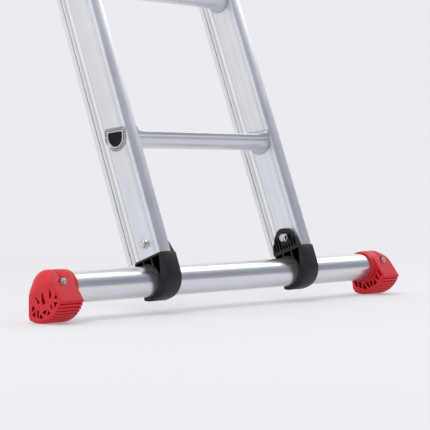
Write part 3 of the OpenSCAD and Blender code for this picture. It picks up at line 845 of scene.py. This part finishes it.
def rungSet(body, node, name, low, high, growBy):
    places = []
    for i in range(1, rungSize["count"] + 1):
        middle, s, end = rungMiddle(f"{node}_{i}")
        places.append((middle, s))
        bm = bmesh.new()
        buildRung(bm, low.x, high.x, end - high.x, growBy, middle, s)
        finishPiece(bm, f"{name}{i}", [f"{node}_{i}"], body, [rungAlloy], "rung_aluminium", slope, sharp=50)
    face = end - plugRecess[body]
    bm = bmesh.new()
    for middle, s in places:
        for way in (1, -1):
            stops = [(high.x - 6, -2.1), (face, -2.1), (face + 0.15, -2.5), (face + 0.15, -3.6),
                     (face - 0.1, -4.0), (face - 0.1, -6.0)]
            fill(bm, sweep(bm, [rungRing(way * x, grow, middle, s) for x, grow in stops])[1])
    finishPiece(bm, name + "Plugs", [f"{node}_plugs"], body, [plugBlack], "charcoal_plastic", slope, sharp=50)


rungSet("base", "base_rung", "baseRung", baseLow, baseHigh, 1.0)
rungSet("fly", "fly_rung", "flyRung", flyLow, flyHigh, 0.45)
print("rungs ready")


capSize = {"round": 3.0, "edge": 1.2, "rim": 4.5, "dish": 0.7}


def capPiece(body, name, node, stileLow, stileHigh, up):
    low, high = limits(node.format("right"), slope)
    start, end = (stileHigh.z, high.z) if up else (stileLow.z, low.z)

    def ring(z, amount):
        r = capSize["round"]
        inner, outer, rear, front = stileLow.x, stileHigh.x, -stileHigh.y, -stileLow.y
        points = (arc(r, -90, 0, 6, (outer - r, rear + r)) + arc(r, 0, 90, 6, (outer - r, front - r))
                  + arc(r, 90, 180, 6, (inner + r, front - r)) + arc(r, 180, 270, 6, (inner + r, rear + r)))
        return [(x, -p, z) for x, p in shrink(points, amount)]

    def build(bm):
        way = 1 if up else -1
        edge, rim, dish = capSize["edge"], capSize["rim"], capSize["dish"]
        rings = [ring(start, 0.3), ring(start + way * 0.3, 0), ring(end - way * edge, 0),
                 ring(end - way * edge * 0.3, edge * 0.3), ring(end, edge), ring(end, rim),
                 ring(end - way * dish, rim + dish)]
        first, last = sweep(bm, rings)
        fill(bm, last)
        fill(bm, first)

    both(build, name, node, body, [charcoal], "charcoal_plastic", slope)


capPiece("base", "BaseCap", "base_{}_cap", baseLow, baseHigh, True)
capPiece("fly", "FlyTopCap", "fly_{}_top_cap", flyLow, flyHigh, True)
capPiece("fly", "FlyEndCap", "fly_{}_end_cap", flyLow, flyHigh, False)


guideSize = {"plate": 3.0, "bevel": 0.7, "gap": 0.8, "lip": 5.0, "tongue": 1.1, "reach": 1.2,
             "webBack": 1.5, "web": 5.0}
baseGuide = limits("base_right_guide", slope)
flyGuide = limits("fly_right_guide", slope)


def buildBaseGuide(bm):
    # a plate on the base stile with a lip behind it, whose tongue runs in the fly stile's groove
    low, high = baseGuide
    size = guideSize
    rear, front, stileRear = -high.y, -low.y, -baseHigh.y
    shoulder, stile = flyHigh.x + size["gap"], baseHigh.x
    middle, half = rear + size["lip"], size["tongue"]
    outline = [(low.x, middle - half), (shoulder, middle - half), (shoulder, rear), (high.x, rear),
               (high.x, front), (stile, front), (stile, stileRear), (shoulder, stileRear),
               (shoulder, middle + half), (low.x, middle + half)]
    prism(bm, outline, low.z, high.z)


def buildFlyGuide(bm):
    # a plate on the fly stile and a web past the base stile's rear, whose tongue runs in its groove
    low, high = flyGuide
    size = guideSize
    face, wing = flyHigh.x, high.x - size["plate"]
    rear, front = -high.y, -low.y
    webFront = -baseHigh.y - size["webBack"]
    webRear = webFront - size["web"]
    middle, half = front - size["lip"], size["tongue"]
    tip = baseHigh.x - size["reach"]
    outline = [(face, rear), (face + size["plate"], rear), (face + size["plate"], webRear), (high.x, webRear),
               (high.x, front), (wing, front), (wing, middle + half), (tip, middle + half),
               (tip, middle - half), (wing, middle - half), (wing, webFront), (face, webFront)]
    prism(bm, outline, low.z, high.z)


both(buildBaseGuide, "BaseGuide", "base_{}_guide", "base", [charcoal], "charcoal_plastic", slope,
     bevel=guideSize["bevel"])
both(buildFlyGuide, "FlyGuide", "fly_{}_guide", "fly", [charcoal], "charcoal_plastic", slope,
     bevel=guideSize["bevel"])


rivetSize = {"head": 4.5, "shank": 2.5, "shoulder": 3.6, "dimple": 0.9}


def rivetPiece(name, node, body, face):
    low, high = limits(node, slope)
    middle, top = -(low.y + high.y) / 2, high.x
    head, shank = rivetSize["head"], rivetSize["shank"]
    profile = [(face - 1, shank), (face, shank), (face, head), (face + 0.35, head - 0.05),
               (top - 0.4, rivetSize["shoulder"]), (top - 0.05, 2.2), (top, 1.2),
               (top - 0.25, rivetSize["dimple"]), (top - 0.6, 0.02)]

    def build(bm):
        for s in (low.z + head, high.z - head):
            turned(bm, profile, (middle, s), 32)

    pair(build, name, node, body, [zinc], "zinc_steel", slope, sharp=45)


rivetPiece("baseGuideRivets", "base_guide_rivets", "base", baseGuide[1].x)
rivetPiece("flyGuideRivets", "fly_guide_rivets", "fly", flyHigh.x + guideSize["plate"])
print("caps and guides ready")


hookSize = {"park": 120.0, "boss": 12.0, "bore": 4.05, "chamfer": 0.5, "edge": 0.8,
            "pinHead": 7.0, "pin": 4.0}
# a hook's side view about its pin, before it turns to where it parks
hookSide = [(2.5, 11.6), (26, 9), (44, -1), (60, -12), (80.5, -31.25), (82.3, -36.5), (82.5, -50.5),
            (80.0, -55.5), (75.5, -58.2), (72.3, -55.5), (71.4, -51.2), (70.5, -39.0), (68.5, -36.2),
            (33.7, -26.8), (12, -15.5), (2.5, -11.6)]
hookSide += arc(hookSize["boss"], 258, 102, 16)
low, high = limits("right_hook", slope)
hookInner, hookOuter = low.x, high.x
low, high = limits("right_hook_pin", slope)
pinInner, pinOuter = low.x, high.x
pinP, pinS = -(low.y + high.y) / 2, (low.z + high.z) / 2


def buildHook(bm):
    first, last = plate(bm, hookSide, hookInner, hookOuter, hookSize["edge"])
    radius, chamfer = hookSize["bore"], hookSize["chamfer"]
    firstRim, lastRim = sweep(bm, [atX(x, arc(r, 0, 350, 35)) for x, r in
                                   ((hookInner, radius + chamfer), (hookInner + chamfer, radius),
                                    (hookOuter - chamfer, radius), (hookOuter, radius + chamfer))])
    fill(bm, first + firstRim)
    fill(bm, last + lastRim)
    bmesh.ops.transform(bm, matrix=Matrix.Translation((0, -pinP, pinS))
                        @ Matrix.Rotation(-math.radians(hookSize["park"]), 4, "X"), verts=bm.verts)


def buildPin(bm):
    head, shank = hookSize["pinHead"], hookSize["pin"]
    turned(bm, [(pinInner + 0.25, 0.05), (pinInner, 1.5), (pinInner + 0.1, head * 0.55),
                (pinInner + 1.0, head * 0.86), (pinInner + 2.2, head), (pinInner + 3.5, head),
                (pinInner + 3.5, shank), (pinOuter - 0.5, shank), (pinOuter, shank - 0.5),
                (pinOuter, 0.05)], (pinP, pinS), 40)


for side, mirrored in sides:
    bm = bmesh.new()
    buildHook(bm)
    finishPiece(bm, side + "Hook", [side + "_hook"], side + "_hook", [hookSteel], "hook_steel", slope,
                mirrored)
    bm = bmesh.new()
    buildPin(bm)
    finishPiece(bm, side + "HookPin", [side + "_hook_pin"], "fly", [hookSteel], "hook_steel", slope,
                mirrored)
print("hooks ready")


# the floor glows like the backdrop away from the ladder; the walls' glow goes by direction, from
# -1 opposite "toward" to 1 along it, and shows only in reflections and as light
studio = {"backdrop": (0.838, 0.831, 0.871), "floor": (0.83, 0.825, 0.845), "near": 0.2, "far": 2.6,
          "least": 0.32, "overhead": 40.0, "behind": 16.0, "bright": 1.0, "toward": (-0.10, 0.75, 0.65),
          "glows": [(-0.45, (0.32, 0.35, 0.40)), (-0.27, (0.25, 0.28, 0.34)), (-0.16, (0.34, 0.37, 0.44)),
                    (0.1, (0.62, 0.64, 0.68)), (0.4, (0.88, 0.88, 0.89)), (0.6, (0.97, 0.96, 0.95)),
                    (1.0, (1.0, 1.0, 1.0))]}

bm = bmesh.new()
bmesh.ops.create_circle(bm, cap_ends=True, segments=96, radius=14.0)
mesh = bpy.data.meshes.new("floor")
bm.to_mesh(mesh)
bm.free()
floor = bpy.data.objects.new("floor", mesh)
bpy.context.scene.collection.objects.link(floor)
floorPaint, tree, shader, coords = startMaterial("floorPaint")
shader.inputs["Base Color"].default_value = (*studio["floor"], 1)
shader.inputs["Roughness"].default_value = 0.75
shader.inputs["Specular IOR Level"].default_value = 0.2
centre = addNode(tree, "VectorMath", operation="DISTANCE")
centre.inputs[1].default_value = (barAxis.x, barAxis.y, 0)
tree.links.new(coords.outputs["Object"], centre.inputs[0])
fade = addNode(tree, "MapRange", {"From Min": studio["near"], "From Max": studio["far"],
                                  "To Min": studio["least"], "To Max": 1.0},
               interpolation_type="SMOOTHSTEP")
tree.links.new(centre.outputs["Value"], fade.inputs["Value"])
glow = addNode(tree, "Emission", {"Color": (*studio["backdrop"], 1), "Strength": 1.0})
blend = addNode(tree, "MixShader")
tree.links.new(fade.outputs["Result"], blend.inputs[0])
tree.links.new(shader.outputs[0], blend.inputs[1])
tree.links.new(glow.outputs[0], blend.inputs[2])
output = next(n for n in tree.nodes if n.bl_idname == "ShaderNodeOutputMaterial")
tree.links.new(blend.outputs[0], output.inputs["Surface"])
mesh.materials.append(floorPaint)

world = bpy.data.worlds.new("studio")
world.use_nodes = True
bpy.context.scene.world = world
tree = world.node_tree
tree.nodes.clear()
output = addNode(tree, "OutputWorld")
coords = addNode(tree, "TexCoord")
toward = addNode(tree, "VectorMath", operation="DOT_PRODUCT")
toward.inputs[1].default_value = studio["toward"]
tree.links.new(coords.outputs["Generated"], toward.inputs[0])
ramp = addNode(tree, "ValToRGB")
tree.links.new(spread(tree, toward.outputs["Value"], 0.0, 1.0, -1.0, 1.0), ramp.inputs["Fac"])
fillRamp(ramp, [((at + 1) / 2, glowColour) for at, glowColour in studio["glows"]])
light = addNode(tree, "Background", {"Strength": studio["bright"]})
tree.links.new(ramp.outputs["Color"], light.inputs["Color"])
plain = addNode(tree, "Background", {"Color": (*studio["backdrop"], 1), "Strength": 1.0})
seen = addNode(tree, "LightPath")
blend = addNode(tree, "MixShader")
tree.links.new(seen.outputs["Is Camera Ray"], blend.inputs[0])
tree.links.new(light.outputs[0], blend.inputs[1])
tree.links.new(plain.outputs[0], blend.inputs[2])
tree.links.new(blend.outputs[0], output.inputs["Surface"])


def areaLight(name, size, power, place, target):
    lamp = bpy.data.lights.new(name, "AREA")
    lamp.shape = "DISK"
    lamp.size = size
    lamp.energy = power
    holder = bpy.data.objects.new(name, lamp)
    holder.location = place
    holder.rotation_euler = (Vector(target) - Vector(place)).to_track_quat("-Z", "Y").to_euler()
    bpy.context.scene.collection.objects.link(holder)


areaLight("overhead", 2.6, studio["overhead"], (-1.6, barAxis.y - 0.6, 3.6), (0, barAxis.y, 0))
areaLight("behind", 1.7, studio["behind"], (2.7, barAxis.y - 0.1, 2.35), (0, barAxis.y, 0))

# metres across, in front of the bar's axis and above the floor, then degrees of tilt and turn
viewpoint = {"lens": 139.98, "sensor": 36, "across": -2.172, "back": 1.85296, "height": 0.225,
             "tilt": 88.63, "turn": -49.09}
cameraData = bpy.data.cameras.new("camera")
cameraData.lens = viewpoint["lens"]
cameraData.sensor_width = viewpoint["sensor"]
camera = bpy.data.objects.new("camera", cameraData)
camera.location = (viewpoint["across"], barAxis.y - viewpoint["back"], viewpoint["height"])
camera.rotation_euler = (math.radians(viewpoint["tilt"]), 0, math.radians(viewpoint["turn"]))
bpy.context.scene.collection.objects.link(camera)
bpy.context.scene.camera = camera
bpy.context.scene.view_settings.view_transform = "Standard"
bpy.context.scene.view_settings.look = "None"
print("studio ready")
